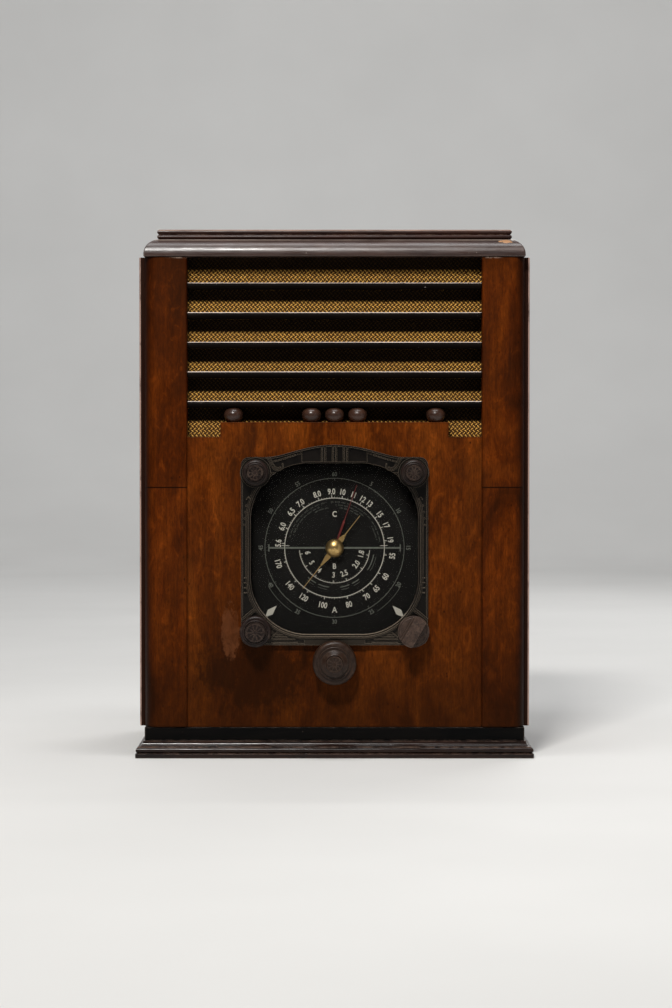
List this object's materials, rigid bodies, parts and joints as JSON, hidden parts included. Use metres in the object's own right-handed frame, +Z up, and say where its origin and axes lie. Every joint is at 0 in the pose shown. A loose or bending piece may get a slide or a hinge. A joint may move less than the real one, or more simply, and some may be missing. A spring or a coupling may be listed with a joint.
{
  "type": "tombstone radio",
  "caption": "Upright wooden table radio with a louvred cloth grille, beaded ledge, square moulded dial front with clock-type pointers, five control knobs, a stepped base and an open back.",
  "frame": {"origin": "centre of the base moulding's underside, on the surface that the radio stands on", "axes": "+Z up, the front faces -Y, +X to the viewer's right"},
  "size_m": [0.354, 0.2728, 0.47],
  "materials": {
    "walnut": "satin lacquer",
    "dark_moulding": "gloss lacquer",
    "plain_wood": "bare",
    "cloth": "woven",
    "bronzed": "antique bronze",
    "glass": "clear",
    "dial_black": "matt with cream print",
    "steel": "plated",
    "brass": "polished",
    "red": "satin",
    "bulb": "clear",
    "alu": "plain",
    "ceramic": "glazed",
    "knob": "worn gloss",
    "band_brown": "mottled",
    "belt": "woven",
    "paxolin": "satin",
    "rubber": "matt",
    "black_iron": "satin",
    "valve_glass": "silvered",
    "valve_metal": "satin",
    "paper": "felted paper"
  },
  "bodies": {
    "cabinet": {"base_moulding": "dark_moulding", "plinth": "dark_moulding", "chassis_shelf": "plain_wood", "left_side_board": "walnut", "right_side_board": "walnut", "left_pilaster": "walnut", "right_pilaster": "walnut", "front_panel": "walnut", "top_board": "dark_moulding", "top_plate": "dark_moulding", "corner_blocks": "plain_wood", "baffle_board": "plain_wood", "grille_cloth": "cloth", "louvre_slats": "dark_moulding", "ledge_beads": "dark_moulding", "escutcheon": "bronzed", "dial_glass": "glass", "dial_plate": "dial_black", "dial_bracket": "steel", "gear_plate": "steel", "lamp_sockets": "brass", "pilot_lamps": "bulb", "drive_belt": "belt", "tuning_bush": "brass", "gang_frame": "steel", "stator_blades": "alu", "stator_insulators": "ceramic", "potentiometers": "steel", "band_switch": "paxolin", "chassis_pan": "steel", "chassis_mounts": "rubber", "chassis_bolts": "steel", "power_transformer": "black_iron", "glass_valves": "valve_glass", "metal_valves": "valve_metal", "valve_sockets": "paxolin", "coil_cans": "alu", "aerial_strip": "paxolin", "speaker_basket": "black_iron", "speaker_cone": "paper", "field_coil": "black_iron", "output_transformer": "black_iron"},
    "gang_rotor": {"pointer": "brass", "rotor_shaft": "steel", "rotor_gear": "brass", "rotor_blades": "alu"},
    "hand_spindle": {"second_hand": "red", "spindle": "brass"},
    "lay_train": {"lay_shaft": "steel", "lay_gears": "brass"},
    "tuning_control": {"tuning_knob": "knob", "tuning_shaft": "steel"},
    "tone_control": {"tone_knob": "knob", "tone_shaft": "steel"},
    "fidelity_control": {"fidelity_knob": "knob", "fidelity_shaft": "steel"},
    "volume_control": {"volume_knob": "knob", "volume_shaft": "steel"},
    "band_control": {"band_knob": "band_brown", "band_shaft": "steel"}
  },
  "joints": [
    {"name": "gang_turn", "type": "hinge", "parent": "cabinet", "child": "gang_rotor", "pos_m": [0, 0, 0.186], "axis": [0, 1, 0], "range_deg": [-128, 52]},
    {"name": "lay_turn", "type": "hinge", "parent": "cabinet", "child": "lay_train", "pos_m": [0.0216, 0, 0.186], "axis": [0, 1, 0], "range_deg": [-156, 384]},
    {"name": "hand_turn", "type": "hinge", "parent": "cabinet", "child": "hand_spindle", "pos_m": [0, 0, 0.186], "axis": [0, 1, 0], "range_deg": [-1152, 468]},
    {"name": "tuning_turn", "type": "hinge", "parent": "cabinet", "child": "tuning_control", "pos_m": [0, 0, 0.0855], "axis": [0, 1, 0], "range_deg": [-1440, 585]},
    {"name": "tone_turn", "type": "hinge", "parent": "cabinet", "child": "tone_control", "pos_m": [-0.07, 0, 0.2537], "axis": [0, 1, 0], "range_deg": [-150, 150]},
    {"name": "fidelity_turn", "type": "hinge", "parent": "cabinet", "child": "fidelity_control", "pos_m": [0.07, 0, 0.2537], "axis": [0, 1, 0], "range_deg": [-150, 150]},
    {"name": "volume_turn", "type": "hinge", "parent": "cabinet", "child": "volume_control", "pos_m": [-0.07, 0, 0.113], "axis": [0, 1, 0], "range_deg": [0, 300]},
    {"name": "band_turn", "type": "hinge", "parent": "cabinet", "child": "band_control", "pos_m": [0.07, 0, 0.113], "axis": [0, 1, 0], "range_deg": [-60, 0]}
  ],
  "couplings": [
    {"joint": "lay_turn", "follows": "gang_turn", "ratio": -3},
    {"joint": "hand_turn", "follows": "gang_turn", "ratio": 9},
    {"joint": "tuning_turn", "follows": "gang_turn", "ratio": 11.25}
  ]
}
